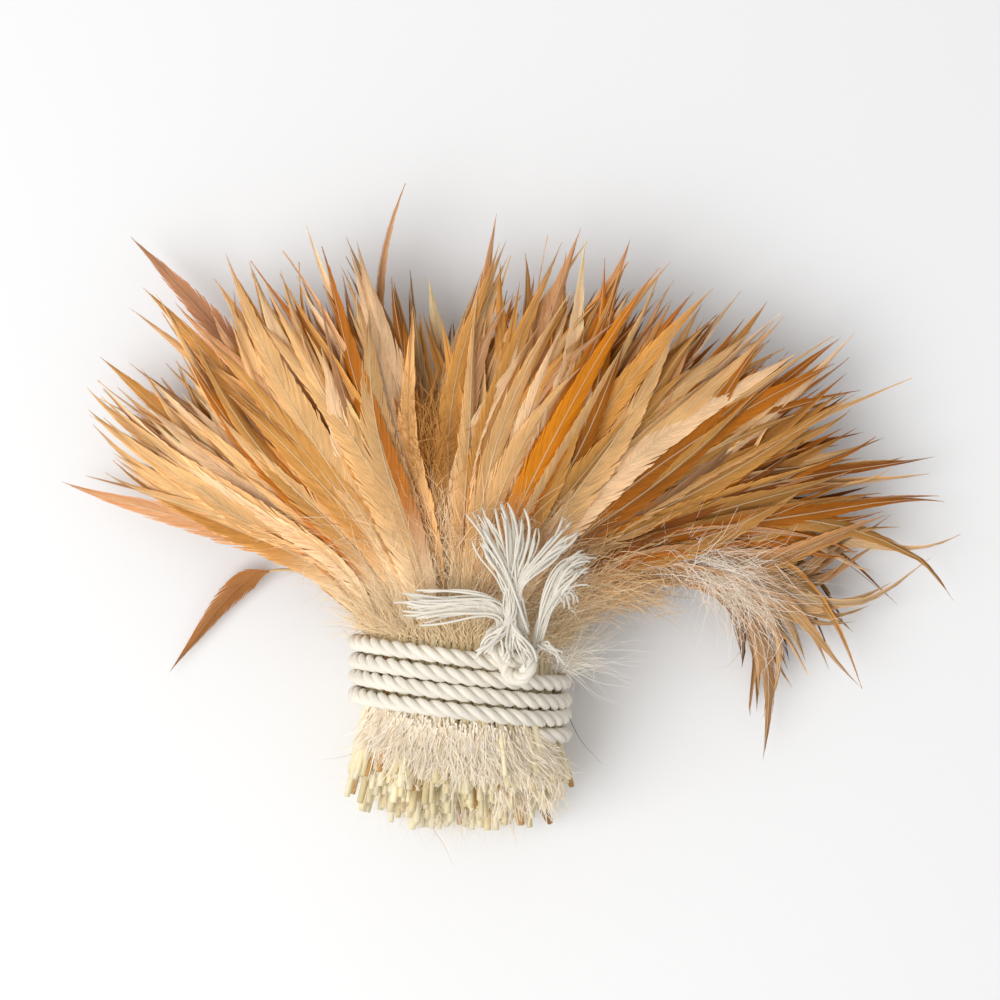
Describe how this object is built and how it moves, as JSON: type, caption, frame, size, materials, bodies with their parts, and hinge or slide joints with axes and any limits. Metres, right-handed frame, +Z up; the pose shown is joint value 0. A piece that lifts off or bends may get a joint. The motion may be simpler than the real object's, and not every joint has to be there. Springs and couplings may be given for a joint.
{
  "type": "tied feather bundle",
  "caption": "Bundle of ginger rooster saddle feathers fanned out in front of a wound and knotted cotton cord, with a blunt stump of pale quill ends.",
  "frame": {"origin": "on the table under the middle of the tie, on the flat underside of the third turn of the cord", "axes": "+X across the fan, to the side that holds the drooping feathers; +Y from the quill ends to the feather tips; +Z up from the table"},
  "size_m": [0.209, 0.1641, 0.0532],
  "materials": {
    "golden_blades": "satin",
    "amber_blades": "satin",
    "brown_blades": "satin",
    "straw_quills": "matte",
    "cotton_cord": "matte"
  },
  "bodies": {
    "tied_stump": {"quills_far_left_high": "straw_quills", "quills_far_left_low": "straw_quills", "quills_far_right_high": "straw_quills", "quills_far_right_low": "straw_quills", "quills_left_high": "straw_quills", "quills_left_low": "straw_quills", "quills_middle_high": "straw_quills", "quills_middle_low": "straw_quills", "quills_right_high": "straw_quills", "quills_right_low": "straw_quills", "cord_winding": "cotton_cord", "cord_knot": "cotton_cord", "blades_centre_left_low": "golden_blades", "blades_centre_left_mid": "golden_blades", "blades_centre_low": "golden_blades", "blades_centre_mid": "golden_blades", "blades_centre_right_low": "golden_blades", "blades_centre_right_mid": "golden_blades"},
    "crown": {"blades_centre_left_top_1": "golden_blades", "blades_centre_left_top_2": "golden_blades", "blades_centre_right_top_1": "golden_blades", "blades_centre_right_top_2": "golden_blades", "blades_centre_top_1": "golden_blades", "blades_centre_top_2": "golden_blades"},
    "left_inner": {"blades_left_inner_low": "golden_blades", "blades_left_inner_mid": "golden_blades", "blades_left_inner_top_1": "golden_blades", "blades_left_inner_top_2": "golden_blades"},
    "left_wing": {"blades_left_wing_low": "golden_blades", "blades_left_wing_top_1": "golden_blades", "blades_left_wing_top_2": "golden_blades"},
    "right_inner": {"blades_right_inner_low": "amber_blades", "blades_right_inner_mid": "amber_blades", "blades_right_inner_top_1": "amber_blades", "blades_right_inner_top_2": "amber_blades"},
    "right_wing": {"blades_right_wing_low": "amber_blades", "blades_right_wing_top_1": "amber_blades", "blades_right_wing_top_2": "amber_blades"},
    "right_low": {"blades_right_low_low": "amber_blades", "blades_right_low_top_1": "amber_blades", "blades_right_low_top_2": "amber_blades"},
    "right_droop": {"blades_right_droop_low": "amber_blades", "blades_right_droop_top_1": "amber_blades", "blades_right_droop_top_2": "amber_blades"},
    "stray_upper_left": {"stray_upper_left": "brown_blades"},
    "stray_upper_middle": {"stray_upper_middle": "brown_blades"},
    "stray_lower_left": {"stray_lower_left": "brown_blades"},
    "tail_left": {"cord_tail_left": "cotton_cord"},
    "tail_upper": {"cord_tail_upper": "cotton_cord"},
    "tail_right": {"cord_tail_right": "cotton_cord"}
  },
  "joints": [
    {"name": "left_wing_spread", "type": "hinge", "parent": "tied_stump", "child": "left_wing", "pos_m": [-0.0197, 0.0156, 0.02], "axis": [0, 0, 1], "range_deg": [0, 12], "stiffness_Nm_per_rad": 0.02},
    {"name": "left_inner_spread", "type": "hinge", "parent": "tied_stump", "child": "left_inner", "pos_m": [-0.0139, 0.0156, 0.02], "axis": [0, 0, 1], "range_deg": [0, 6], "stiffness_Nm_per_rad": 0.02},
    {"name": "right_wing_spread", "type": "hinge", "parent": "tied_stump", "child": "right_wing", "pos_m": [0.0148, 0.0156, 0.02], "axis": [0, 0, -1], "range_deg": [0, 10], "stiffness_Nm_per_rad": 0.02},
    {"name": "right_inner_spread", "type": "hinge", "parent": "tied_stump", "child": "right_inner", "pos_m": [0.0101, 0.0156, 0.02], "axis": [0, 0, -1], "range_deg": [0, 5], "stiffness_Nm_per_rad": 0.02},
    {"name": "right_low_spread", "type": "hinge", "parent": "tied_stump", "child": "right_low", "pos_m": [0.0187, 0.0156, 0.02], "axis": [0, 0, -1], "range_deg": [0, 12.5], "stiffness_Nm_per_rad": 0.02},
    {"name": "right_droop_spread", "type": "hinge", "parent": "tied_stump", "child": "right_droop", "pos_m": [0.0215, 0.0156, 0.02], "axis": [0, 0, -1], "range_deg": [0, 14], "stiffness_Nm_per_rad": 0.02},
    {"name": "crown_lift", "type": "hinge", "parent": "tied_stump", "child": "crown", "pos_m": [0, 0.0156, 0.047], "axis": [1, 0, 0], "range_deg": [0, 10], "stiffness_Nm_per_rad": 0.02},
    {"name": "stray_upper_left_swing", "type": "hinge", "parent": "left_inner", "child": "stray_upper_left", "pos_m": [-0.0403, 0.0665, 0.016], "axis": [0, 0, 1], "range_deg": [-6, 8], "stiffness_Nm_per_rad": 0.002},
    {"name": "stray_upper_middle_swing", "type": "hinge", "parent": "tied_stump", "child": "stray_upper_middle", "pos_m": [-0.0137, 0.0727, 0.019], "axis": [0, 0, 1], "range_deg": [-5, 5], "stiffness_Nm_per_rad": 0.002},
    {"name": "stray_lower_left_swing", "type": "hinge", "parent": "left_wing", "child": "stray_lower_left", "pos_m": [-0.0348, 0.0298, 0.007], "axis": [0, 0, 1], "range_deg": [-8, 15], "stiffness_Nm_per_rad": 0.002},
    {"name": "tail_left_lift", "type": "hinge", "parent": "crown", "child": "tail_left", "pos_m": [0.0063, 0.0172, 0.0497], "axis": [0, 1, 0], "range_deg": [0, 30]},
    {"name": "tail_upper_lift", "type": "hinge", "parent": "crown", "child": "tail_upper", "pos_m": [0.016, 0.0174, 0.0519], "axis": [0.9994, 0.0357, 0], "range_deg": [0, 30]},
    {"name": "tail_right_lift", "type": "hinge", "parent": "tied_stump", "child": "tail_right", "pos_m": [0.0189, 0.0126, 0.0476], "axis": [0.7954, -0.606, 0], "range_deg": [0, 30]}
  ],
  "couplings": [
    {"joint": "left_inner_spread", "follows": "left_wing_spread", "ratio": 0.5},
    {"joint": "right_inner_spread", "follows": "right_wing_spread", "ratio": 0.5},
    {"joint": "right_low_spread", "follows": "right_wing_spread", "ratio": 1.25},
    {"joint": "right_droop_spread", "follows": "right_wing_spread", "ratio": 1.4}
  ]
}
